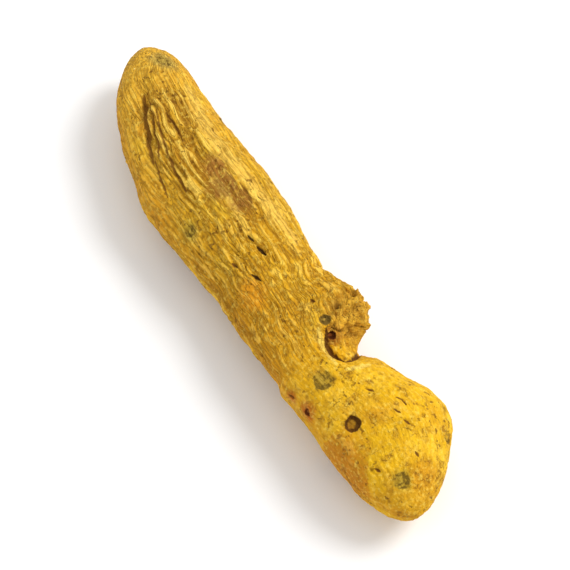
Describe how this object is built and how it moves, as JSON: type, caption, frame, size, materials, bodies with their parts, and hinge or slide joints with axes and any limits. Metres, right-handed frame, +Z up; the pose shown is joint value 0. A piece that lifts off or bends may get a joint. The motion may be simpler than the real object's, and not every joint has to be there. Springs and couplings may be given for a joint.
{
  "type": "turmeric root",
  "caption": "Dried turmeric finger with a wrinkled tip, a swollen rounded butt and the broken stub of a side finger, lying on its belly.",
  "frame": {"origin": "on the surface the finger lies on, under the middle of its bounding box", "axes": "+X along the finger from its wrinkled tip to its swollen butt, +Y towards the side with the stub, +Z up"},
  "size_m": [0.068, 0.0192, 0.0122],
  "materials": {
    "turmeric_skin": "matte"
  },
  "bodies": {
    "root": {"turmeric_root": "turmeric_skin"}
  },
  "joints": []
}
